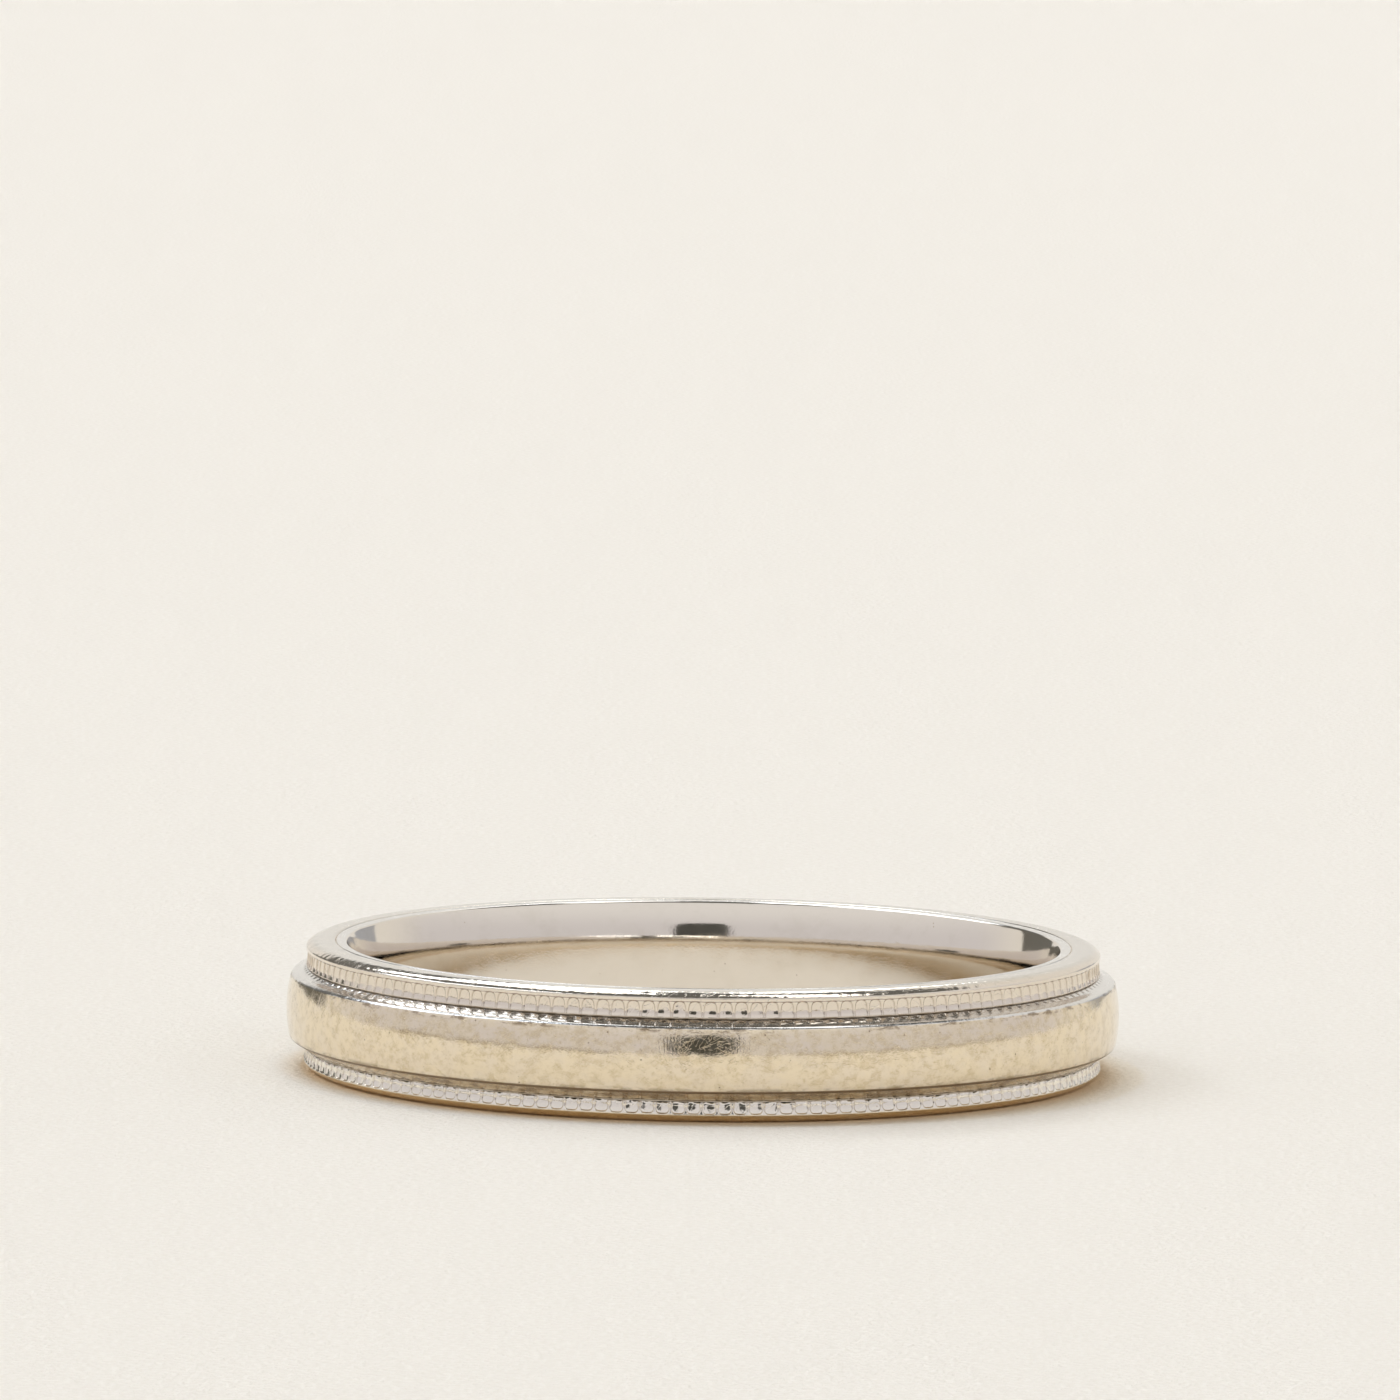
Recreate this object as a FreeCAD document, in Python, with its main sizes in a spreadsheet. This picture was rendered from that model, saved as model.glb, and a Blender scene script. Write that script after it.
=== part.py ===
"""A plain domed wedding band with a milgrain edge on each side, as the soldered pieces it is made up from.

The frame is in millimetres: +Z runs along the finger, z = 0 is the face that the band rests on, and the
finger's axis is x = y = 0. A comfort-fit sleeve carries a domed centre band between two milgrain rings, and a
film of solder fills each seam. Every profile is drawn in the XZ plane as (radius, height) and turned about Z.
"""

import FreeCAD, Part
import Sketcher

import math
import os
import re

SHEET = "dimensions"

# Driving dimensions in millimetres, each with what it measures.
DIMENSIONS = (
    ("band_width", 3.0, "height of the whole band, face to face"),
    ("bore_radius", 8.18, "inside radius on the straight middle of the bore"),
    ("bore_land", 0.9, "length of that straight middle"),
    ("mouth_radius", 8.38, "inside radius where the comfort-fit curve meets the rounded mouth"),
    ("mouth_depth", 0.055, "how far below the face the rounding starts"),
    ("mouth_round", 0.065, "radius of that rounding"),
    ("lip_radius", 8.435, "inside radius of the sleeve's edge face"),
    ("lip_drop", 0.015, "how far that face falls from the seam to the lip"),
    ("sleeve_radius", 8.63, "outside radius of the sleeve"),
    ("solder_gap", 0.03, "thickness of the solder in every seam"),
    ("solder_setback", 0.02, "how far the solder stops short of the visible surface"),
    ("shoulder_radius", 9.06, "where the flat face ends and the rounded shoulder begins"),
    ("upper_shoulder_drop", 0.13, "height of the upper ring's rounded shoulder"),
    ("lower_shoulder_drop", 0.17, "height of the lower ring's rounded shoulder"),
    ("shoulder_round", 0.42, "radius of both roundings"),
    ("upper_rim_radius", 9.33, "outside radius of the upper milgrain ring"),
    ("lower_rim_radius", 9.37, "outside radius of the lower milgrain ring"),
    ("upper_seam", 2.40, "height of the seam over the centre band"),
    ("lower_seam", 0.50, "height of the seam under the centre band"),
    ("crown_radius", 9.79, "outside radius at the crown of the dome"),
    ("crown_height", 1.42, "height of the crown"),
    ("dome_round", 3.0, "radius of the dome in section"),
    ("dome_top", 2.17, "height of the dome's upper edge"),
    ("dome_bottom", 0.80, "height of the dome's lower edge"),
    ("edge_round", 0.12, "radius of the rounding between the dome and a ledge"),
    ("upper_ledge_radius", 9.63, "outside radius of the ledge over the dome"),
    ("upper_ledge_height", 2.25, "height of that ledge at its outside"),
    ("lower_ledge_radius", 9.68, "outside radius of the ledge under the dome"),
    ("lower_ledge_height", 0.73, "height of that ledge at its outside"),
    ("scoop_count", 165, "scoops cut round each milgrain ring"),
    ("scoop_radius", 0.72, "radius of the ball-ended tool that cuts a scoop"),
    ("scoop_depth", 0.045, "depth of a scoop below the rim"),
    ("upper_scoop_end", 2.80, "height where the upper scoops run out"),
    ("lower_scoop_end", 0.19, "height where the lower scoops run out"),
)


def make_sheet(doc):
    """The spreadsheet: a label, a value with its alias and a note on each row."""
    sheet = doc.addObject("Spreadsheet::Sheet", SHEET)
    for row, (alias, value, meaning) in enumerate(DIMENSIONS, start=1):
        sheet.set(f"A{row}", alias)
        sheet.set(f"B{row}", str(value))
        sheet.setAlias(f"B{row}", alias)
        sheet.set(f"C{row}", meaning)
    doc.recompute()
    return sheet


def bound(formula):
    """A formula in the sheet's aliases, written as FreeCAD reads it."""
    return re.sub(r"[a-z]+(_[a-z]+)+", lambda found: f"<<{SHEET}>>.{found.group()}", formula)


def origin_part(body, role):
    """One of the body's own origin planes or axes."""
    return next(part for part in body.Origin.OriginFeatures if part.Role == role)


def value_of(sketch, formula):
    """The formula's value now, in millimetres."""
    value = sketch.evalExpression(bound(formula))
    return float(getattr(value, "Value", value))


def rounded(start, end, radius, centre_side):
    """An arc of the radius from start to end, its centre to the left (+1) or right (-1) of that line."""
    middle = (start + end) * 0.5
    along = end - start
    half = along.Length / 2
    left = FreeCAD.Vector(-along.y, along.x, 0).normalize()
    centre = middle + left * (centre_side * math.sqrt(radius**2 - half**2))
    outward = (middle - centre).normalize()
    return Part.Arc(start, centre + outward * radius, end)


def draw_profile(body, name, corners):
    """A closed profile in the body's XZ plane.

    Each corner is (radius, height) as formulas, or (radius, height, rounding, side) where the edge that leaves
    it is an arc of that radius, with its centre to the left (+1) or right (-1) of the way to the next corner.
    """
    sketch = body.newObject("Sketcher::SketchObject", name)
    sketch.AttachmentSupport = (origin_part(body, "XZ_Plane"), [""])
    sketch.MapMode = "FlatFace"
    points = [FreeCAD.Vector(value_of(sketch, c[0]), value_of(sketch, c[1]), 0) for c in corners]
    ends = []
    for i, corner in enumerate(corners):
        start, end = points[i], points[(i + 1) % len(points)]
        if len(corner) == 2:
            index = sketch.addGeometry(Part.LineSegment(start, end), False)
            ends.append((index, 1, 2))
            continue
        radius = value_of(sketch, corner[2])
        index = sketch.addGeometry(rounded(start, end, radius, corner[3]), False)
        forward = sketch.Geometry[index].StartPoint.distanceToPoint(start) < 1e-6
        ends.append((index, 1, 2) if forward else (index, 2, 1))
    for i, (index, first, _) in enumerate(ends):
        previous, _, last = ends[i - 1]
        sketch.addConstraint(Sketcher.Constraint("Coincident", previous, last, index, first))
        place_corner(sketch, index, first, points[i], corners[i], i)
        if len(corners[i]) == 4:
            radius = value_of(sketch, corners[i][2])
            number = sketch.addConstraint(Sketcher.Constraint("Radius", index, radius))
            sketch.renameConstraint(number, f"round_{i}")
            sketch.setExpression(f"Constraints.round_{i}", bound(corners[i][2]))
    return sketch


def place_corner(sketch, index, end, point, corner, i):
    """Ties one corner of a profile to the sheet. A height of 0 is a point on the horizontal axis."""
    number = sketch.addConstraint(Sketcher.Constraint("DistanceX", -1, 1, index, end, point.x))
    sketch.renameConstraint(number, f"radius_{i}")
    sketch.setExpression(f"Constraints.radius_{i}", bound(corner[0]))
    if corner[1] == "0":
        sketch.addConstraint(Sketcher.Constraint("PointOnObject", index, end, -1))
        return
    number = sketch.addConstraint(Sketcher.Constraint("DistanceY", -1, 1, index, end, point.y))
    sketch.renameConstraint(number, f"height_{i}")
    sketch.setExpression(f"Constraints.height_{i}", bound(corner[1]))


def turned_body(doc, label, corners):
    """A body turned from one closed profile."""
    body = doc.addObject("PartDesign::Body", label)
    body.Label = label
    sketch = draw_profile(body, f"{label}_profile", corners)
    turned = body.newObject("PartDesign::Revolution", f"{label}_turned")
    turned.Profile = sketch
    turned.ReferenceAxis = (sketch, ["V_Axis"])
    turned.Angle = 360.0
    body.Tip = turned
    doc.recompute()
    return body


def make_inner_sleeve(doc):
    """The comfort-fit sleeve that touches the finger: straight in the middle, and wider at both mouths."""
    land_low = "(band_width - bore_land) / 2"
    land_high = "(band_width + bore_land) / 2"
    opening = "(mouth_radius - bore_radius)"
    reach = f"({land_low} - mouth_depth)"
    comfort_round = f"({reach} * {reach} + {opening} * {opening}) / (2 * {opening})"
    return turned_body(
        doc,
        "inner_sleeve",
        [
            ("sleeve_radius", "0"),
            ("sleeve_radius", "band_width"),
            ("lip_radius", "band_width - lip_drop", "mouth_round", 1),
            ("mouth_radius", "band_width - mouth_depth", comfort_round, 1),
            ("bore_radius", land_high),
            ("bore_radius", land_low, comfort_round, 1),
            ("mouth_radius", "mouth_depth", "mouth_round", 1),
            ("lip_radius", "lip_drop"),
        ],
    )


def make_sleeve_solder(doc):
    """The film of solder between the sleeve and the three outer rings."""
    return turned_body(
        doc,
        "sleeve_solder",
        [
            ("sleeve_radius", "solder_setback"),
            ("sleeve_radius + solder_gap", "solder_setback"),
            ("sleeve_radius + solder_gap", "band_width - solder_setback"),
            ("sleeve_radius", "band_width - solder_setback"),
        ],
    )


def on_dome(height):
    """The dome's radius at a height, as a formula."""
    above = f"({height} - crown_height)"
    return f"crown_radius - dome_round + sqrt(dome_round * dome_round - {above} * {above})"


def make_centre_band(doc):
    """The domed band: a shallow arc across the width, with a sloped ledge down to the seam on each side."""
    high_face = "upper_seam - solder_gap / 2"
    low_face = "lower_seam + solder_gap / 2"
    return turned_body(
        doc,
        "centre_band",
        [
            ("sleeve_radius + solder_gap", low_face),
            ("lower_rim_radius - scoop_depth", low_face),
            ("lower_ledge_radius", "lower_ledge_height", "edge_round", 1),
            (on_dome("dome_bottom"), "dome_bottom", "dome_round", 1),
            (on_dome("dome_top"), "dome_top", "edge_round", 1),
            ("upper_ledge_radius", "upper_ledge_height"),
            ("upper_rim_radius - scoop_depth", high_face),
            ("sleeve_radius + solder_gap", high_face),
        ],
    )


def make_seam(doc, label, seam, rim):
    """A washer of solder between the centre band and one milgrain ring."""
    outside = f"{rim} - scoop_depth - solder_setback"
    return turned_body(
        doc,
        label,
        [
            ("sleeve_radius + solder_gap", f"{seam} - solder_gap / 2"),
            (outside, f"{seam} - solder_gap / 2"),
            (outside, f"{seam} + solder_gap / 2"),
            ("sleeve_radius + solder_gap", f"{seam} + solder_gap / 2"),
        ],
    )


def cut_scoops(doc, body, rim, centre_height):
    """The milgrain: one spherical scoop cut into the rim, repeated round the ring."""
    before = body.Shape.Volume
    scoop = body.newObject("PartDesign::SubtractiveSphere", f"{body.Label}_scoop")
    scoop.AttachmentSupport = (origin_part(body, "XY_Plane"), [""])
    scoop.MapMode = "FlatFace"
    scoop.setExpression("Radius", bound("scoop_radius"))
    scoop.setExpression("AttachmentOffset.Base.x", bound(f"{rim} + scoop_radius - scoop_depth"))
    scoop.setExpression("AttachmentOffset.Base.z", bound(centre_height))
    body.Tip = scoop
    doc.recompute()
    pattern = body.newObject("PartDesign::PolarPattern", f"{body.Label}_milgrain")
    pattern.Originals = [scoop]
    pattern.Axis = (origin_part(body, "Z_Axis"), [""])
    pattern.Angle = 360.0
    pattern.setExpression("Occurrences", bound("scoop_count"))
    body.Tip = pattern
    doc.recompute()
    if body.Shape.Volume >= before:
        raise RuntimeError(f"{body.Label}: the scoops cut nothing")


def scoop_reach():
    """Half the height of a scoop where it leaves the rim, as a formula."""
    floor = "(scoop_radius - scoop_depth)"
    return f"sqrt(scoop_radius * scoop_radius - {floor} * {floor})"


def make_upper_milgrain_ring(doc):
    """The upper edge ring: flat face, rounded shoulder, plain strip, and scoops that open into the seam."""
    body = turned_body(
        doc,
        "upper_milgrain_ring",
        [
            ("sleeve_radius + solder_gap", "upper_seam + solder_gap / 2"),
            ("upper_rim_radius", "upper_seam + solder_gap / 2"),
            ("upper_rim_radius", "band_width - upper_shoulder_drop", "shoulder_round", 1),
            ("shoulder_radius", "band_width"),
            ("sleeve_radius + solder_gap", "band_width"),
        ],
    )
    cut_scoops(doc, body, "upper_rim_radius", f"upper_scoop_end - {scoop_reach()}")
    return body


def make_lower_milgrain_ring(doc):
    """The lower edge ring, which the band rests on."""
    body = turned_body(
        doc,
        "lower_milgrain_ring",
        [
            ("sleeve_radius + solder_gap", "0"),
            ("shoulder_radius", "0", "shoulder_round", 1),
            ("lower_rim_radius", "lower_shoulder_drop"),
            ("lower_rim_radius", "lower_seam - solder_gap / 2"),
            ("sleeve_radius + solder_gap", "lower_seam - solder_gap / 2"),
        ],
    )
    cut_scoops(doc, body, "lower_rim_radius", f"lower_scoop_end + {scoop_reach()}")
    return body


def check_document(doc, pieces):
    """Stops if any object failed or any piece isn't one valid solid."""
    for item in doc.Objects:
        if "Invalid" in item.State or "Error" in item.State:
            raise RuntimeError(f"{item.Label} failed: {item.State}")
    for piece in pieces:
        shape = piece.Shape
        if shape.isNull() or not shape.isValid() or len(shape.Solids) != 1:
            raise RuntimeError(f"{piece.Label} isn't one valid solid")


def main():
    doc = FreeCAD.newDocument("wedding_band")
    make_sheet(doc)
    pieces = [
        make_inner_sleeve(doc),
        make_sleeve_solder(doc),
        make_centre_band(doc),
        make_upper_milgrain_ring(doc),
        make_lower_milgrain_ring(doc),
        make_seam(doc, "upper_solder_seam", "upper_seam", "upper_rim_radius"),
        make_seam(doc, "lower_solder_seam", "lower_seam", "lower_rim_radius"),
    ]
    doc.recompute()
    check_document(doc, pieces)
    os.makedirs("parts", exist_ok=True)
    for piece in pieces:
        piece.Shape.exportStep(os.path.join("parts", f"{piece.Label}.step"))
        print(f"{piece.Label}: {piece.Shape.Volume:.2f} mm3, {len(piece.Shape.Faces)} faces")


main()
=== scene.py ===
import math

import bpy
import numpy as np
from mathutils import Matrix, Vector


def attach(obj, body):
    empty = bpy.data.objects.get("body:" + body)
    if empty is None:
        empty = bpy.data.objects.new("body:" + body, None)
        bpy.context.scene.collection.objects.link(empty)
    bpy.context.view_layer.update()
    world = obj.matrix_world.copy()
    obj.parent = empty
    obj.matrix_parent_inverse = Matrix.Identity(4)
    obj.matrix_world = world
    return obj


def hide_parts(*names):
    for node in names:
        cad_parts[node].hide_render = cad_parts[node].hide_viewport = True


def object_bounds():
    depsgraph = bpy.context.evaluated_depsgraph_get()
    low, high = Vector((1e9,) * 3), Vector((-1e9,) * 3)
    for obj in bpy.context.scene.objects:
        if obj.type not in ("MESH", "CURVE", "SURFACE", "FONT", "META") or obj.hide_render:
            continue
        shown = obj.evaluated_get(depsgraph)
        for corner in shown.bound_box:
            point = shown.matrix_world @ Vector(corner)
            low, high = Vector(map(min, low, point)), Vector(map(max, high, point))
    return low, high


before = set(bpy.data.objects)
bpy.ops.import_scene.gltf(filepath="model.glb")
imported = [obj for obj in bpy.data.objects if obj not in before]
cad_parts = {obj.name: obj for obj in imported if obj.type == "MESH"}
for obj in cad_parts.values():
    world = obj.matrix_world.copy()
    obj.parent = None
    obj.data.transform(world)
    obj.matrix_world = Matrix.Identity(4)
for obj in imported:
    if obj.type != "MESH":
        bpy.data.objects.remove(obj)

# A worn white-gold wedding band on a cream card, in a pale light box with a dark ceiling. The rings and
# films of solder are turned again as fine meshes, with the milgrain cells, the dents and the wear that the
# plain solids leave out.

MM = 0.001
cad_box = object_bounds()

# ------------------------------ sizes, in millimetres, as in the CAD model
WIDTH = (cad_box[1][2] - cad_box[0][2]) / MM
MIDDLE = WIDTH / 2
BORE = 8.18
LAND = 0.45                     # half the straight middle of the bore
MOUTH, MOUTH_DEPTH, MOUTH_ROUND = 8.38, 0.055, 0.065
LIP, LIP_DROP = 8.435, 0.015
SLEEVE = 8.63
SOLDER = 0.03
SETBACK = 0.02                  # how far the solder stops short of the surface
OUTER = SLEEVE + SOLDER
SHOULDER = 9.06
SHOULDER_ROUND = 0.42
UPPER_RIM = 9.33
LOWER_RIM = 9.37
UPPER_SHOULDER_DROP = 0.13
LOWER_SHOULDER_DROP = 0.17
UPPER_SEAM = 2.40
LOWER_SEAM = 0.50
CROWN = 9.79
CROWN_HEIGHT = 1.42
DOME_ROUND = 3.0
DOME_TOP = 2.17
DOME_BOTTOM = 0.80
EDGE_ROUND = 0.12
SCOOPS = 165
SCOOP_DEPTH = 0.045
PITCH = 2 * math.pi / SCOOPS
WALL_SKIN = 0.02                # how far behind the rim a point still belongs to the milgrain wall
BEVEL = 0.008                   # on the sharp edges of the sleeve and the outer rings
LOWER_EDGE, UPPER_EDGE = (9.68, 0.73), (9.63, 2.25)      # where the dome's rounded edges end
LEDGE_BEND = (9.42, 2.305)      # where the ledge above the dome gets steeper

# The ledge's hollow below each upper cell: its depth, the radius at its middle, and its spread.
PIT, PIT_RADIUS, PIT_SPREAD = 0.016, 9.345, 0.045

# The milgrain's cells: bowls between narrow ridges, all leaning back a little and curling out at the foot.
RIDGE_TOP, RIDGE_FOOT = 0.032, 0.007      # half the width of a ridge at each end
CELL_WALL = 0.030                         # the width of the slope between a ridge and its cell
CELL_STEP = 0.014                         # how far a cell lies behind its ridges
CELL_BOWL, BOWL_SPREAD = 0.012, 0.11      # how much deeper its middle is, and how wide that bowl is
CELL_CORNER = 0.12                        # the radius of its corners
CELL_LEAN = 0.04                          # how far it leans back, per millimetre
UPPER_CELL, UPPER_CELL_HALF = 2.61, 0.185          # the height of a cell's middle, and half its height
LOWER_CELL, LOWER_CELL_HALF = 0.42, 0.225
UPPER_CURL = (0.27, 0.015, 0.155)         # how steep the foot gets, how far down it begins, and its length
LOWER_CURL = (0.20, 0.0, 0.13)

# Places of the points round one pitch, as shares of it: crowded towards the ridges of the milgrain, or
# even. Each row's places hold all the places of the rows with fewer, so that neighbours can be joined.
FINE = (0, 0.03, 0.06, 0.09, 0.125, 0.18, 0.25, 0.375, 0.5, 0.625, 0.75, 0.82, 0.875, 0.91, 0.94, 0.97)
EVEN = (0, 0.125, 0.25, 0.375, 0.5, 0.625, 0.75, 0.875)
PLAIN = (0, 0.25, 0.5, 0.75)
SPARSE = (0, 0.5)


# ------------------------------ outlines and turned meshes
def run(start, end, step):
    """Points from start up to, but not including, end, no further apart than step."""
    start, end = np.array(start), np.array(end)
    count = max(1, math.ceil(np.linalg.norm(end - start) / step))
    return [tuple(start + (end - start) * i / count) for i in range(count)]


def bow(start, end, radius, count):
    """Points on an arc from start up to, but not including, end, with its centre to the left of the way."""
    start, end = np.array(start), np.array(end)
    middle, along = (start + end) / 2, end - start
    half = np.linalg.norm(along) / 2
    left = np.array([-along[1], along[0]]) / (2 * half)
    centre = middle + left * math.sqrt(radius**2 - half**2)
    first = math.atan2(*(start - centre)[::-1])
    turn = 2 * math.asin(half / radius)
    angles = [first + turn * i / count for i in range(count)]
    return [tuple(centre + radius * np.array([math.cos(a), math.sin(a)])) for a in angles]


def joined(lower, lower_shares, upper, upper_shares):
    """Faces between two rows of points, where the row with fewer points keeps the faces' corners."""
    shared = min(lower_shares, upper_shares, key=len) + (1,)
    places = [(lower, lower_shares + (1,)), (upper, upper_shares + (1,))]
    faces = []
    for pitch in range(SCOOPS):
        for low, high in zip(shared, shared[1:]):
            sides = []
            for start, shares in places:
                count = len(shares) - 1
                steps = range(shares.index(low), shares.index(high) + 1)
                sides.append([start + (pitch * count + i) % (SCOOPS * count) for i in steps])
            faces.append(sides[0] + sides[1][::-1])
    return faces


def turned(name, stretches, shape=None):
    """A closed ring turned about Z.

    Each stretch is an outline of (radius, height) points, and the places of the points round one pitch.
    shape takes the angle, radius and height of a row of points and gives back its radius, height and the
    painted shade of its creases.
    """
    points, faces, crease_shade, rows = [], [], [], []
    count = 0
    for outline, shares in stretches:
        angle = PITCH * (np.arange(SCOOPS)[:, None] + np.array(shares)[None, :]).reshape(-1)
        for radius, height in outline:
            across, up = np.full_like(angle, radius), np.full_like(angle, height)
            dirt_and_shade = np.zeros_like(angle)
            if shape:
                across, up, dirt_and_shade = shape(angle, across, up)
            rows.append((count, shares))
            count += len(angle)
            points.append(np.stack([across * np.sin(angle), -across * np.cos(angle), up], axis=-1) * MM)
            crease_shade.append(dirt_and_shade)
    for i, (start, shares) in enumerate(rows):
        ahead, ahead_shares = rows[(i + 1) % len(rows)]
        faces += joined(start, shares, ahead, ahead_shares)
    mesh = bpy.data.meshes.new(name)
    mesh.from_pydata(np.concatenate(points).tolist(), [], faces)
    mesh.polygons.foreach_set("use_smooth", [True] * len(faces))
    mesh.set_sharp_from_angle(angle=math.radians(55))
    mesh.attributes.new("crease_shade", "FLOAT", "POINT").data.foreach_set("value", np.concatenate(crease_shade))
    piece = bpy.data.objects.new(name, mesh)
    bpy.context.scene.collection.objects.link(piece)
    return piece


def place(piece, node, material):
    """Puts a piece in its node's place, with its material."""
    piece.data.materials.append(material)
    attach(piece, "root")
    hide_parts(node)


# ------------------------------ wear that is in the shape
def smooth(value, low, high):
    """0 below low, 1 above high, and a soft step between."""
    share = np.clip((value - low) / (high - low), 0, 1)
    return share * share * (3 - 2 * share)


def ripple(angle, height, seed, around, along, size):
    """A smooth, repeatable unevenness: a sum of waves round the ring and across it.

    around is the most waves round the ring, along the most radians per millimetre of height.
    """
    draw = np.random.default_rng(seed)
    total = 0
    waves_in_sum = 24
    for _ in range(waves_in_sum):
        turns = draw.integers(max(1, around // 4), around)
        waves = draw.uniform(-along, along)
        total = total + np.cos(turns * angle + waves * height + draw.uniform(0, 2 * math.pi))
    return total * size / math.sqrt(waves_in_sum / 2)


def dents(angle, height, radius, seed, count, low, high, widest, deepest):
    """Small round dents: how far each point sinks."""
    draw = np.random.default_rng(seed)
    sunk = np.zeros_like(height)
    for _ in range(count):
        at, level = draw.uniform(0, 2 * math.pi), draw.uniform(low, high)
        wide = widest * draw.uniform(0.35, 1)
        deep = deepest * draw.uniform(0.2, 1)
        stretch = draw.uniform(0.5, 2)
        across = (angle - at + math.pi) % (2 * math.pi) - math.pi
        far = (across * radius / stretch) ** 2 + ((height - level) * stretch) ** 2
        sunk += deep * np.exp(-far / wide**2)
    return sunk


def cell_place(angle, radius):
    """The number of the cell at each angle, and how far round it is from the cell's middle."""
    pitches = angle / PITCH + 1e-6
    number = np.floor(pitches).astype(int) % SCOOPS
    return number, (pitches - np.floor(pitches) - 0.5) * PITCH * radius


def curl_depth(down, curl):
    """How far a wall has come out, at a distance down it, when its slope grows smoothly from upright."""
    steep, begin, length = curl
    share = np.clip((down - begin) / length, 0, None)
    within = np.minimum(share, 1)
    return steep * length * (within**3 - within**4 / 2 + share - within)


def milgrain_cell(angle, height, rim, middle, half_height, curl, seed, open_foot=False):
    """How deep a cell is at each point, and how near the point is to the foot of the cell's border.

    With open_foot, the cell has no lower end and runs down into the seam.
    """
    uneven = np.random.default_rng(seed).normal(0, 1, (4, SCOOPS))
    number, across = cell_place(angle, rim)
    down = np.clip(middle - height, -half_height, half_height)
    ridge = RIDGE_FOOT + (RIDGE_TOP - RIDGE_FOOT) * smooth(-down / half_height, -0.6, 0.9)
    half = PITCH * rim / 2 - ridge
    rise = height - middle - 0.004 * uneven[0][number]
    side, level = np.abs(across), np.maximum(rise, 0) if open_foot else np.abs(rise)
    beyond_side, beyond_level = side - half + CELL_CORNER, level - half_height + CELL_CORNER
    away = np.hypot(np.maximum(beyond_side, 0), np.maximum(beyond_level, 0))
    away = away + np.minimum(np.maximum(beyond_side, beyond_level), 0) - CELL_CORNER
    inside = smooth(-away, 0, CELL_WALL)
    within = smooth(half_height - level, 0, CELL_WALL)
    lean = CELL_LEAN * (half_height - down) + curl_depth(half_height, curl) - curl_depth(down, curl)
    bowl = CELL_BOWL * (1 + 0.15 * uneven[3][number]) * np.exp(-((across / BOWL_SPREAD) ** 2))
    tilt = 0.02 * uneven[1][number] * across + 0.006 * uneven[2][number] * (height - middle)
    deep = (CELL_STEP + bowl + tilt) * inside + lean * (0.75 * within + 0.25 * inside)
    return np.maximum(deep, 0), np.exp(-(((away + 0.6 * CELL_WALL) / 0.012) ** 2))


# ------------------------------ the pieces
def inner_sleeve(material):
    """The comfort-fit sleeve: straight in the middle, and opening to a rounded mouth at each end."""
    high, low = MIDDLE + LAND, MIDDLE - LAND
    reach = low - MOUTH_DEPTH
    comfort = (reach**2 + (MOUTH - BORE) ** 2) / (2 * (MOUTH - BORE))
    outline = (
        run((SLEEVE, BEVEL), (SLEEVE, WIDTH - BEVEL), 0.5)
        + run((SLEEVE, WIDTH - BEVEL), (SLEEVE - BEVEL, WIDTH), 1)
        + run((SLEEVE - BEVEL, WIDTH), (LIP, WIDTH - LIP_DROP), 0.04)
        + bow((LIP, WIDTH - LIP_DROP), (MOUTH, WIDTH - MOUTH_DEPTH), MOUTH_ROUND, 6)
        + bow((MOUTH, WIDTH - MOUTH_DEPTH), (BORE, high), comfort, 14)
        + run((BORE, high), (BORE, low), 0.09)
        + bow((BORE, low), (MOUTH, MOUTH_DEPTH), comfort, 14)
        + bow((MOUTH, MOUTH_DEPTH), (LIP, LIP_DROP), MOUTH_ROUND, 6)
        + run((LIP, LIP_DROP), (SLEEVE - BEVEL, 0), 0.04)
        + run((SLEEVE - BEVEL, 0), (SLEEVE, BEVEL), 1)
    )

    def worn(angle, radius, height):
        inside = np.clip((SLEEVE - 0.03 - radius) / 0.1, 0, 1)
        sunk = ripple(angle, height, seed=11, around=60, along=3, size=0.0005)
        sunk = sunk + dents(angle, height, BORE, 12, 60, low=0.2, high=2.8, widest=0.08, deepest=0.002)
        return radius + np.abs(sunk) * inside, height, np.zeros_like(angle)

    place(turned("sleeve", [(outline, EVEN)], worn), "inner_sleeve", material)


def on_dome(height):
    """The dome's radius at a height."""
    return CROWN - DOME_ROUND + math.sqrt(DOME_ROUND**2 - (height - CROWN_HEIGHT) ** 2)


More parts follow.
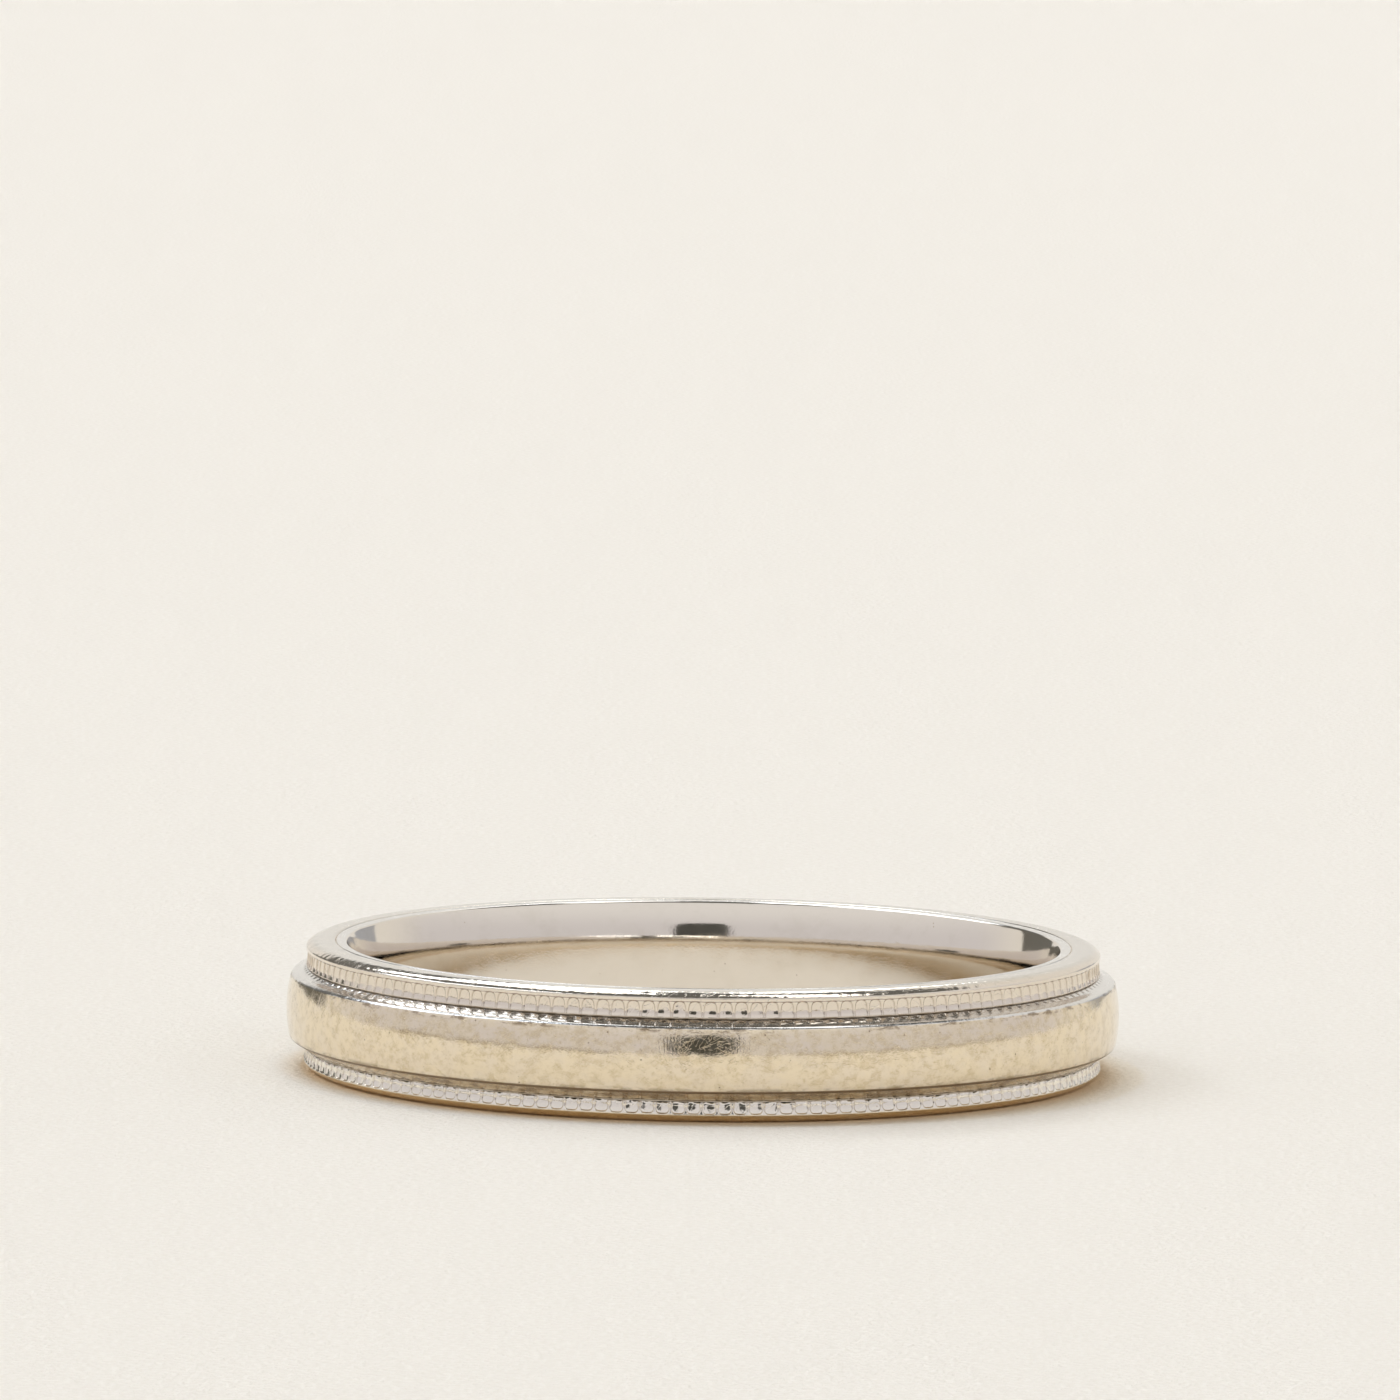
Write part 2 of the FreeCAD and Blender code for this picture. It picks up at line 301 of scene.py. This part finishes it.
def centre_band(material):
    """The dome, its rounded edges, and the ledges between them and the seams."""
    high, low = UPPER_SEAM - SOLDER / 2, LOWER_SEAM + SOLDER / 2
    upper_foot, lower_foot = UPPER_RIM - SCOOP_DEPTH, LOWER_RIM - SCOOP_DEPTH
    dome_low, dome_high = (on_dome(DOME_BOTTOM), DOME_BOTTOM), (on_dome(DOME_TOP), DOME_TOP)
    dome = (
        run((lower_foot, low), LOWER_EDGE, 0.06)
        + bow(LOWER_EDGE, dome_low, EDGE_ROUND, 6)
        + bow(dome_low, dome_high, DOME_ROUND, 24)
        + bow(dome_high, UPPER_EDGE, EDGE_ROUND, 8)
        + run(UPPER_EDGE, LEDGE_BEND, 0.08)
    )
    ledge = run(LEDGE_BEND, (upper_foot, high), 0.015) + [(upper_foot, high)]
    hidden = run((upper_foot - 0.01, high), (OUTER, high), 1) + run((OUTER, high), (OUTER, low), 2)
    hidden += run((OUTER, low), (lower_foot, low), 1)

    def worn(angle, radius, height):
        outside = np.clip((radius - 9.6) / 0.08, 0, 1)
        sunk = 0.003 + ripple(angle, height, seed=21, around=90, along=8, size=0.0007)
        sunk = sunk + dents(angle, height, CROWN, 22, 150, low=0.85, high=2.15, widest=0.09, deepest=0.003)
        nicks = dents(angle, height, CROWN, 23, 70, low=2.12, high=2.24, widest=0.06, deepest=0.008)
        nicks += dents(angle, height, CROWN, 24, 40, low=0.72, high=0.86, widest=0.06, deepest=0.008)
        _, across = cell_place(angle, UPPER_RIM)
        share = 0.5 - np.abs(across) / (PITCH * UPPER_RIM)
        inner = np.exp(-(((radius - PIT_RADIUS) / PIT_SPREAD) ** 2)) * (height > CROWN_HEIGHT)
        gap = smooth(share, 0.26, 0.42)
        pit = PIT * gap * inner * (1 + ripple(angle, 0 * height, seed=25, around=200, along=1, size=0.12))
        # Painted shade: the ledge just under the upper ring and the hollows between its knobs are darkened.
        seam = np.maximum((height > UPPER_SEAM - 0.03) * 0.8, 0.75 * gap * inner)
        return radius - (np.maximum(sunk, 0) + nicks) * outside, height - pit, seam

    piece = turned("dome", [(dome, EVEN), (ledge, FINE), (hidden, SPARSE)], worn)
    place(piece, "centre_band", material)


def upper_milgrain_ring(material):
    """The top ring: its milgrain wall, the plain strip and shoulder above it, and the end face."""
    low, shoulder = UPPER_SEAM + SOLDER / 2, WIDTH - UPPER_SHOULDER_DROP
    top, foot = UPPER_CELL + UPPER_CELL_HALF, UPPER_CELL - UPPER_CELL_HALF
    wall = (
        run((UPPER_RIM, low), (UPPER_RIM, foot), 0.02)
        + run((UPPER_RIM, foot), (UPPER_RIM, foot + 0.06), 0.009)
        + run((UPPER_RIM, foot + 0.06), (UPPER_RIM, top - 0.08), 0.032)
        + run((UPPER_RIM, top - 0.08), (UPPER_RIM, top), 0.009)
        + [(UPPER_RIM, top + 0.006)]
    )
    plain = (
        run((UPPER_RIM, top + 0.012), (UPPER_RIM, shoulder), 0.03)
        + bow((UPPER_RIM, shoulder), (SHOULDER, WIDTH), SHOULDER_ROUND, 12)
        + run((SHOULDER, WIDTH), (OUTER + BEVEL, WIDTH), 0.13)
        + run((OUTER + BEVEL, WIDTH), (OUTER, WIDTH - BEVEL), 1)
    )
    hidden = run((OUTER, WIDTH - BEVEL), (OUTER, low), 1) + run((OUTER, low), (UPPER_RIM - 0.06, low), 0.4)

    def worn(angle, radius, height):
        cell = (UPPER_RIM, UPPER_CELL, UPPER_CELL_HALF, UPPER_CURL)
        # Painted shade along the foot of each cell's border, strongest at the arch at the top of the cell.
        deep, border = milgrain_cell(angle, height, *cell, seed=31, open_foot=True)
        border = border * (0.45 + 0.75 * smooth(height, UPPER_CELL - 0.12, UPPER_CELL + 0.10))
        on_wall = np.clip((radius - UPPER_RIM) / WALL_SKIN + 1, 0, 1) * (height < shoulder + 0.001)
        turning = smooth(radius, SHOULDER - 0.02, SHOULDER + 0.05) * (height > shoulder - 0.02)
        uneven = ripple(angle, height + radius, seed=32, around=300, along=40, size=0.0007)
        dented = dents(angle, height, UPPER_RIM, 33, 90, low=2.86, high=3.0, widest=0.05, deepest=0.004)
        rough = np.maximum(0.0012 + uneven, 0) + dented
        return radius - deep * on_wall - rough * turning, height - rough * turning, border * on_wall

    piece = turned("upper_milgrain", [(wall, FINE), (plain, EVEN), (hidden, SPARSE)], worn)
    place(piece, "upper_milgrain_ring", material)


def lower_milgrain_ring(material):
    """The ring that the band rests on: its end face and shoulder, and the milgrain wall above them."""
    high, shoulder = LOWER_SEAM - SOLDER / 2, LOWER_SHOULDER_DROP
    foot = LOWER_CELL - LOWER_CELL_HALF
    plain = (
        run((OUTER, BEVEL), (OUTER + BEVEL, 0), 1)
        + run((OUTER + BEVEL, 0), (SHOULDER, 0), 0.13)
        + bow((SHOULDER, 0), (LOWER_RIM, shoulder), SHOULDER_ROUND, 12)
        + run((LOWER_RIM, shoulder), (LOWER_RIM, foot - 0.004), 0.02)
    )
    wall = (
        run((LOWER_RIM, foot), (LOWER_RIM, foot + 0.08), 0.009)
        + run((LOWER_RIM, foot + 0.08), (LOWER_RIM, high - 0.03), 0.032)
        + run((LOWER_RIM, high - 0.03), (LOWER_RIM, high), 0.01)
        + [(LOWER_RIM, high)]
    )
    hidden = run((LOWER_RIM - 0.06, high), (OUTER, high), 0.4) + run((OUTER, high), (OUTER, BEVEL), 1)

    def worn(angle, radius, height):
        cell = (LOWER_RIM, LOWER_CELL, LOWER_CELL_HALF, LOWER_CURL)
        deep, border = milgrain_cell(angle, height, *cell, seed=41)
        on_wall = np.clip((radius - LOWER_RIM) / WALL_SKIN + 1, 0, 1) * (height > shoulder - 0.001)
        _, across = cell_place(angle, LOWER_RIM)
        chips = np.abs(ripple(angle, height, seed=42, around=900, along=3, size=0.02))
        chipped = np.exp(-(((height - high) / 0.03) ** 2)) * chips
        # Painted shade along the foot of each cell's border, and short dark ticks at each ridge just under
        # the dome.
        ridge = np.abs(across) - PITCH * LOWER_RIM / 2
        ticks = np.exp(-((ridge / 0.03) ** 2)) * smooth(height, high - 0.05, high)
        return radius - (deep + chipped) * on_wall, height, 0.6 * np.maximum(border, ticks) * on_wall

    piece = turned("lower_milgrain", [(plain, EVEN), (wall, FINE), (hidden, SPARSE)], worn)
    place(piece, "lower_milgrain_ring", material)


def box_outline(inside, outside, low, high):
    """The outline of a film between two radii and two heights."""
    return [(inside, low), (outside, low), (outside, high), (inside, high)]


def solder_films(material):
    """The film round the sleeve and the washers above and below the dome, all a little set back."""
    film = box_outline(SLEEVE, OUTER, SETBACK, WIDTH - SETBACK)
    place(turned("sleeve_film", [(film, PLAIN)]), "sleeve_solder", material)
    for name, node, seam, rim in (
        ("upper_film", "upper_solder_seam", UPPER_SEAM, UPPER_RIM),
        ("lower_film", "lower_solder_seam", LOWER_SEAM, LOWER_RIM),
    ):
        washer = box_outline(OUTER, rim - SCOOP_DEPTH - SETBACK, seam - SOLDER / 2, seam + SOLDER / 2)
        place(turned(name, [(washer, PLAIN)]), node, material)


# ------------------------------ node trees
class Tree:
    """A node tree, with short calls for the nodes that are used here."""

    def __init__(self, tree):
        self.tree = tree

    def add(self, kind, **settings):
        node = self.tree.nodes.new(kind)
        for key, value in settings.items():
            setattr(node, key, value)
        return node

    def join(self, source, target):
        if hasattr(source, "links"):
            self.tree.links.new(source, target)
        else:
            target.default_value = source

    def ramp(self, value, low, high, first=0.0, last=1.0):
        node = self.add("ShaderNodeMapRange", interpolation_type="SMOOTHSTEP")
        self.join(value, node.inputs[0])
        for socket, number in zip(node.inputs[1:5], (low, high, first, last)):
            socket.default_value = number
        return node.outputs[0]

    def math(self, operation, first, second=0.0):
        node = self.add("ShaderNodeMath", operation=operation)
        self.join(first, node.inputs[0])
        self.join(second, node.inputs[1])
        return node.outputs[0]

    def times(self, *values):
        total = values[0]
        for value in values[1:]:
            total = self.math("MULTIPLY", total, value)
        return total

    def most(self, *values):
        total = values[0]
        for value in values[1:]:
            total = self.math("MAXIMUM", total, value)
        return total

    def mix(self, share, first, second):
        node = self.add("ShaderNodeMix", data_type="RGBA")
        self.join(share, node.inputs[0])
        for socket, colour in ((node.inputs[6], first), (node.inputs[7], second)):
            self.join(colour if hasattr(colour, "links") else (*colour, 1), socket)
        return node.outputs[2]


class Metal(Tree):
    """A metal's material. Its coordinates are in millimetres, plain or wrapped round the ring."""

    def __init__(self, name):
        self.material = bpy.data.materials.new(name)
        self.material.use_nodes = True
        super().__init__(self.material.node_tree)
        self.shader = self.tree.nodes["Principled BSDF"]
        self.shader.inputs["Metallic"].default_value = 1
        metres = self.add("ShaderNodeTexCoord").outputs["Object"]
        self.place = self.scaled(metres, 1 / MM)
        split = self.add("ShaderNodeSeparateXYZ")
        self.join(self.place, split.inputs[0])
        self.height = split.outputs[2]
        flat = self.add("ShaderNodeVectorMath", operation="MULTIPLY")
        self.join(self.place, flat.inputs[0])
        flat.inputs[1].default_value = (1, 1, 0)
        length = self.add("ShaderNodeVectorMath", operation="LENGTH")
        self.join(flat.outputs[0], length.inputs[0])
        self.radius = length.outputs["Value"]
        unit = self.add("ShaderNodeVectorMath", operation="NORMALIZE")
        self.join(flat.outputs[0], unit.inputs[0])
        self.unit = unit.outputs[0]
        # The painted shade of the creases, laid on with the meshes: it darkens the colour at the feet of
        # the milgrain walls and on the ledge under the upper ring.
        self.crease_shade = self.add("ShaderNodeAttribute", attribute_name="crease_shade").outputs["Fac"]

    def scaled(self, vector, scale):
        node = self.add("ShaderNodeVectorMath", operation="SCALE")
        self.join(vector, node.inputs[0])
        node.inputs["Scale"].default_value = scale
        return node.outputs[0]

    def stretch(self, scale, turn=(0, 0, 0)):
        """Plain coordinates, turned and then scaled."""
        node = self.add("ShaderNodeMapping", vector_type="TEXTURE")
        self.join(self.place, node.inputs["Vector"])
        node.inputs["Scale"].default_value = [1 / share for share in scale]
        node.inputs["Rotation"].default_value = turn
        return node.outputs[0]

    def around(self, turn_scale, height_scale, level=None):
        """Coordinates that run round the ring and up it, or along another value in place of the height."""
        up = self.add("ShaderNodeCombineXYZ")
        self.join(self.math("MULTIPLY", level or self.height, height_scale), up.inputs[2])
        both = self.add("ShaderNodeVectorMath", operation="ADD")
        self.join(self.scaled(self.unit, UPPER_RIM * turn_scale), both.inputs[0])
        self.join(up.outputs[0], both.inputs[1])
        return both.outputs[0]

    def noise(self, vector, detail=3, rough=0.55):
        node = self.add("ShaderNodeTexNoise")
        self.join(vector, node.inputs["Vector"])
        node.inputs["Scale"].default_value = 1
        node.inputs["Detail"].default_value = detail
        node.inputs["Roughness"].default_value = rough
        return node.outputs[0]

    def scratches(self, vector, width):
        """Thin lines: where a stretched noise passes its middle value."""
        value = self.noise(vector, 1)
        away = self.math("ABSOLUTE", self.math("SUBTRACT", value, 0.5))
        return self.ramp(away, 0, width, 1, 0)

    def pits(self, scale, size, share):
        """Small round specks, in a share of the cells that they are spread over."""
        node = self.add("ShaderNodeTexVoronoi")
        self.join(self.stretch((scale,) * 3), node.inputs["Vector"])
        node.inputs["Scale"].default_value = 1
        chosen = self.add("ShaderNodeSeparateColor")
        self.join(node.outputs["Color"], chosen.inputs[0])
        near = self.ramp(node.outputs["Distance"], 0.5 * size, size, 1, 0)
        return self.times(near, self.math("LESS_THAN", chosen.outputs[0], share))

    def bumps(self, *layers):
        """Bumps laid on each other: each is a height from 0 to 1 and its size in millimetres."""
        normal = None
        for height, size in layers:
            node = self.add("ShaderNodeBump")
            node.inputs["Distance"].default_value = size * MM
            self.join(height, node.inputs["Height"])
            if normal:
                self.join(normal, node.inputs["Normal"])
            normal = node.outputs[0]
        self.join(normal, self.shader.inputs["Normal"])

    def set(self, **sockets):
        for name, value in sockets.items():
            self.join(value, self.shader.inputs[name.replace("_", " ")])


# ------------------------------ materials
PLATE = (0.79, 0.775, 0.745)
BORE_PLATE = (0.815, 0.755, 0.67)
DULL_PLATE = (0.735, 0.70, 0.635)
WARM_PLATE = (0.82, 0.745, 0.645)
PALE_PLATE = (0.87, 0.82, 0.73)
DULL_GOLD_AND_SHADE = (0.76, 0.61, 0.39)
GOLD = (0.86, 0.75, 0.565)
PALE_GOLD = (0.845, 0.745, 0.595)
DARK_GOLD = (0.68, 0.56, 0.37)
TARNISH = (0.58, 0.53, 0.44)
SMUDGE = (0.72, 0.66, 0.56)
# The dark browns serve both for dirt and for painted shade in the creases and along the edges.
DIRT_AND_SHADE = (0.20, 0.135, 0.075)
BROWN_DIRT_AND_SHADE = (0.40, 0.29, 0.19)
PALE_SOLDER, DARK_SOLDER = (0.62, 0.55, 0.45), (0.40, 0.32, 0.23)
PALE_CREAM, DARK_CREAM = (0.87, 0.82, 0.73), (0.825, 0.77, 0.675)
WARM_CONTACT_SHADE = (0.96, 0.77, 0.52)
BODY_BLACK = (0.06, 0.06, 0.055)


def worn_white_gold():
    """The dome, whose bright plating has worn through to a warmer metal, with dirt along its edges, a
    painted shade line along its lower edge, and painted shade below it and in its creases.
    """
    m = Metal("worn_white_gold")
    patches = m.ramp(m.noise(m.stretch((1.6, 1.6, 2.4)), 6, 0.65), 0.40, 0.60)
    grain = m.noise(m.stretch((14, 14, 14)), 3)
    mottles = m.noise(m.stretch((3.6, 3.6, 4.5)), 5, 0.7)
    colour = m.mix(patches, GOLD, PALE_GOLD)
    colour = m.mix(m.ramp(mottles, 0.42, 0.68, 0, 0.7), colour, DARK_GOLD)
    colour = m.mix(m.ramp(grain, 0.55, 0.8, 0, 0.4), colour, DARK_GOLD)
    steep = m.scratches(m.stretch((9, 9, 1.3), (0.5, 0.1, 0.3)), 0.012)
    slanting = m.scratches(m.stretch((1.3, 1.3, 8), (0.55, 0.45, 0)), 0.010)
    falling = m.scratches(m.stretch((1.5, 1.5, 9), (-0.6, -0.5, 0)), 0.008)
    scratched = m.times(m.most(steep, slanting, falling), m.ramp(mottles, 0.42, 0.6))
    colour = m.mix(m.times(scratched, 0.8), colour, DARK_GOLD)
    ledge = m.ramp(m.height, DOME_TOP + 0.01, DOME_TOP + 0.05)
    colour = m.mix(ledge, colour, PLATE)
    blotches = m.noise(m.stretch((1.5, 1.5, 4)), 6, 0.7)
    low_edge = m.times(m.ramp(m.height, 0.88, 0.77), m.ramp(blotches, 0.44, 0.60, 0, 0.8))
    near_top = m.times(m.ramp(m.height, 2.09, 2.17), m.ramp(m.height, 2.25, 2.2))
    high_edge = m.times(near_top, m.ramp(blotches, 0.5, 0.62))
    # Painted shade: a dark line along the dome's lower edge, a painted reflection of the shaded floor, and
    # the ledge below it darkened as painted shade. The blotches and pits are dirt.
    painted_shade_line = m.times(m.ramp(m.height, 0.79, 0.765), m.ramp(m.height, 0.70, 0.72), 1.1)
    painted_ledge_shade = m.ramp(m.height, 0.72, 0.70, 0, 0.12)
    pits = m.pits(5, 0.13, 0.22)
    dirt_and_shade = m.most(low_edge, high_edge, painted_shade_line, painted_ledge_shade, pits, m.times(m.crease_shade, 0.9))
    colour = m.mix(m.times(dirt_and_shade, 0.75), colour, DIRT_AND_SHADE)
    haze = m.ramp(m.noise(m.stretch((2, 2, 3)), 4), 0.35, 0.7, 0.045, 0.10)
    m.set(Base_Color=colour, Roughness=m.math("ADD", haze, m.times(dirt_and_shade, 0.25)))
    streaks = m.noise(m.around(14, 1.2), 3)
    hatch = m.times(m.noise(m.around(16, 0.2), 2), ledge)
    fine = m.noise(m.stretch((20, 20, 20)), 3)
    m.bumps((streaks, 0.0018), (hatch, 0.003), (fine, 0.0014), (mottles, 0.0012), (scratched, -0.0012))
    return m.material


def bright_white_gold():
    """The bore, the end faces and the milgrain, which have kept more of their plating."""
    m = Metal("bright_white_gold")
    colour = m.mix(m.ramp(m.radius, MOUTH, LIP), BORE_PLATE, PLATE)
    outer_rings = m.ramp(m.radius, SLEEVE, OUTER)
    colour = m.mix(outer_rings, colour, DULL_PLATE)
    colour = m.mix(m.ramp(m.radius, SHOULDER + 0.05, UPPER_RIM - 0.05), colour, WARM_PLATE)
    colour = m.mix(m.times(outer_rings, m.ramp(m.height, 0.60, 0.50)), colour, PALE_PLATE)
    # Darker, duller gold on the bevel at the bottom of the lower ring: worn plating, and painted shade
    # standing for the mirrored shaded floor.
    colour = m.mix(m.times(outer_rings, m.ramp(m.height, 0.21, 0.17)), colour, DULL_GOLD_AND_SHADE)
    smudges = m.ramp(m.noise(m.stretch((1.2, 1.2, 1.6)), 5, 0.65), 0.45, 0.75, 0, 0.35)
    colour = m.mix(smudges, colour, SMUDGE)
    on_face = m.ramp(m.radius, LIP - 0.03, LIP + 0.02)
    tarnish = m.ramp(m.noise(m.around(1.4, 5, m.radius), 5, 0.7), 0.5, 0.8, 0, 0.6)
    on_top = m.ramp(m.height, WIDTH - 0.1, WIDTH - 0.05)
    colour = m.mix(m.times(tarnish, on_top), colour, TARNISH)
    # Painted shade of the creases, from the meshes, mixed with the dark pits, which are real.
    dirt_and_shade = m.most(m.times(m.crease_shade, 0.6), m.times(m.pits(4, 0.10, 0.12), 0.5))
    colour = m.mix(dirt_and_shade, colour, BROWN_DIRT_AND_SHADE)
    haze = m.ramp(m.noise(m.stretch((2, 2, 3)), 4), 0.35, 0.7, 0.05, 0.10)
    m.set(Base_Color=colour, Roughness=m.math("ADD", haze, m.times(dirt_and_shade, 0.2)))
    brushed = m.times(m.noise(m.around(0.8, 26, m.radius), 3), on_face)
    fine = m.noise(m.stretch((18, 18, 18)), 3)
    nicks = m.times(m.noise(m.around(9, 9), 2), on_face)
    lines = m.times(m.scratches(m.stretch((1.4, 7, 1.4), (0.3, 0.2, 0.6)), 0.012), on_face)
    m.bumps((brushed, 0.0015), (fine, 0.0006), (nicks, 0.002), (lines, -0.001))
    return m.material


def dull_solder():
    """White-gold solder, duller and dirtier than the pieces it joins."""
    m = Metal("dull_solder")
    patches = m.ramp(m.noise(m.around(3, 3), 4), 0.4, 0.6)
    m.set(Base_Color=m.mix(patches, PALE_SOLDER, DARK_SOLDER), Roughness=0.4)
    m.bumps((m.noise(m.stretch((12, 12, 12)), 3), 0.002))
    return m.material


# ------------------------------ studio
CAMERA_DISTANCE = 300 * MM
CAMERA_RISE = math.radians(7.265)
AIM_ASIDE, AIM_ABOVE = math.radians(0.031), math.radians(1.3754)
CAMERA_ROLL = math.radians(0.77)
RING_CENTRE = Vector((0, 0, MIDDLE * MM))


def camera():
    """A long lens just above the table, aimed above the band, which lies low in the frame."""
    data = bpy.data.cameras.new("camera")
    data.sensor_width = 36
    data.lens = 327.9
    data.clip_start = 0.01
    data.clip_end = 20
    eye = bpy.data.objects.new("camera", data)
    bpy.context.scene.collection.objects.link(eye)
    rise = CAMERA_RISE
    eye.location = RING_CENTRE + CAMERA_DISTANCE * Vector((0, -math.cos(rise), math.sin(rise)))
    level = Matrix.Rotation(math.radians(90) - rise, 4, "X")
    aim = Matrix.Rotation(AIM_ASIDE, 4, "Y") @ Matrix.Rotation(AIM_ABOVE, 4, "X")
    roll = Matrix.Rotation(CAMERA_ROLL, 4, "Z")
    eye.rotation_euler = (level @ aim @ roll).to_euler()
    bpy.context.scene.camera = eye


def staged(name, corners, material):
    """A flat card that belongs to the studio and not to the band."""
    mesh = bpy.data.meshes.new(name)
    mesh.from_pydata(corners, [], [tuple(range(len(corners)))])
    mesh.materials.append(material)
    card = bpy.data.objects.new(name, mesh)
    bpy.context.scene.collection.objects.link(card)
    return card


def floor():
    """The cream card that the band lies on. Close round the band, its colour is painted warmer: painted
    contact shade and painted warm light bounced from the metal.
    """
    m = Metal("cream_card")
    grain = m.ramp(m.noise(m.stretch((6, 6, 6)), 6), 0.3, 0.7)
    cream = m.mix(grain, DARK_CREAM, PALE_CREAM)
    # Painted contact shade and painted warm bounce light: where little of the sky is open near the band,
    # the card's colour goes warmer.
    open_sky = m.add("ShaderNodeAmbientOcclusion", samples=8)
    open_sky.inputs["Distance"].default_value = 0.9 * MM
    away = m.ramp(open_sky.outputs["AO"], 0.2, 0.92)
    m.set(Base_Color=m.mix(away, WARM_CONTACT_SHADE, cream), Roughness=0.9, Metallic=0.0)
    m.set(Specular_IOR_Level=0.2)
    m.bumps((grain, 0.03))
    half = 2.0
    staged("floor", [(-half, -half, 0), (half, -half, 0), (half, half, 0), (-half, half, 0)], m.material)


def dark_camera():
    """What the metal shows of the camera: a dark body with round corners, just behind the lens."""
    m = Metal("camera_black")
    m.set(Base_Color=(*BODY_BLACK, 1), Roughness=0.6, Metallic=0.0)
    half_width, half_height, roundness = 0.0525, 0.046, 0.45
    middle_x, middle_z = 0.003, 0.05
    count = 32
    corners = []
    for i in range(count):
        turn = 2 * math.pi * i / count
        across, up = math.cos(turn), math.sin(turn)
        x = middle_x + half_width * math.copysign(abs(across) ** roundness, across)
        z = middle_z + half_height * math.copysign(abs(up) ** roundness, up)
        corners.append((x, -CAMERA_DISTANCE - 0.01, z))
    staged("dark_camera", corners, m.material).visible_camera = False


def lamp(name, direction, width, strength, colour):
    """A lamp far away, as wide as the angle given. The metal doesn't show it, but the light box."""
    data = bpy.data.lights.new(name, "SUN")
    data.angle = math.radians(width)
    data.energy = strength
    data.color = colour
    light = bpy.data.objects.new(name, data)
    bpy.context.scene.collection.objects.link(light)
    light.rotation_euler = Vector(direction).to_track_quat("Z", "Y").to_euler()
    light.visible_glossy = False


class LightBox(Tree):
    """The world, which the metal mirrors. All that it shows is far away.

    The heading is in degrees, 0 at the back and 90 at the right, and so is the rise above the horizon.
    """

    def __init__(self):
        world = bpy.data.worlds.new("light_box")
        bpy.context.scene.world = world
        world.use_nodes = True
        super().__init__(world.node_tree)
        split = self.add("ShaderNodeSeparateXYZ")
        self.join(self.add("ShaderNodeTexCoord").outputs["Generated"], split.inputs[0])
        x, y, z = split.outputs
        self.heading = self.math("DEGREES", self.math("ARCTAN2", x, y))
        self.rise = self.math("DEGREES", self.math("ARCSINE", z))
        front = self.mix(self.ramp(self.rise, 8, 34), (0.70, 0.68, 0.71), (0.84, 0.83, 0.84))
        self.colour = self.mix(self.ramp(y, 0.2, 0.7), front, (0.83, 0.80, 0.755))

    def patch(self, left, right, low, high, soft):
        """1 inside a stretch of headings and rises, fading to 0 over twice soft."""
        return self.times(
            self.ramp(self.heading, left - soft, left + soft),
            self.ramp(self.heading, right - soft, right + soft, 1, 0),
            self.ramp(self.rise, low - soft, low + soft),
            self.ramp(self.rise, high - soft, high + soft, 1, 0),
        )

    def slope(self, turn_share):
        """The rise plus a share of the heading, whose edges slant."""
        return self.math("ADD", self.rise, self.math("MULTIPLY", self.heading, turn_share))

    def lay(self, share, colour):
        """Puts a colour over what is there already."""
        self.colour = self.mix(share, self.colour, colour)


def room(box):
    """What stands between the pale walls: two stands, a table's edges, and a dark ceiling and panel."""
    box.lay(box.patch(-49, -23, -5, 34, 0.7), (0.16, 0.155, 0.14))
    box.lay(box.patch(23, 42, -5, 15, 0.7), (0.42, 0.43, 0.46))
    box.lay(box.patch(-156, -86, -1, 1.5, 0.2), (0.30, 0.25, 0.18))
    box.lay(box.patch(86, 156, -1, 1.3, 0.2), (0.40, 0.34, 0.25))
    box.lay(box.ramp(box.rise, 46, 51), (0.15, 0.15, 0.145))
    box.lay(box.patch(-60, -3, 19, 52, 1.5), (0.17, 0.165, 0.155))


def softboxes(box):
    """A long slanting softbox at the left, two at the back left, one high at the right, one narrow."""
    leaning = box.slope(0.4)
    low_edge, high_edge = box.ramp(leaning, 8, 12), box.ramp(leaning, 21, 26, 1, 0)
    box.lay(box.times(box.patch(-116, -45, 34, 64, 2), low_edge, high_edge), (3.6, 3.9, 4.4))
    box.lay(box.patch(-33, -21, 34, 62, 1), (4.0, 4.2, 4.5))
    low_edge, high_edge = box.ramp(box.slope(1), 21, 28), box.ramp(box.slope(2.2), 36, 42, 1, 0)
    box.lay(box.times(box.patch(-40, -1.5, 24, 72, 1.5), low_edge, high_edge), (3.4, 3.5, 3.6))
    box.lay(box.patch(10, 110, 66, 78, 2), (2.4, 2.4, 2.4))
    box.lay(box.patch(2, 8, 27, 50, 1), (4.0, 4.1, 4.2))


def light_box():
    """The room and its softboxes, as what the metal mirrors."""
    box = LightBox()
    room(box)
    softboxes(box)
    box.join(box.colour, box.tree.nodes["Background"].inputs["Color"])


def studio():
    """The card, the light box and the lamps, which aren't part of the band."""
    floor()
    dark_camera()
    light_box()
    lamp("overhead_left", (-0.31, 0.05, 0.95), width=3.5, strength=0.58, colour=(0.36, 0.53, 0.85))
    lamp("overhead", (0.0, 0.08, 1.0), width=24, strength=0.70, colour=(1.0, 0.90, 0.74))
    bpy.context.scene.view_settings.view_transform = "Standard"


def main():
    worn, bright, dull = worn_white_gold(), bright_white_gold(), dull_solder()
    inner_sleeve(bright)
    centre_band(worn)
    upper_milgrain_ring(bright)
    lower_milgrain_ring(bright)
    solder_films(dull)
    studio()
    camera()


main()
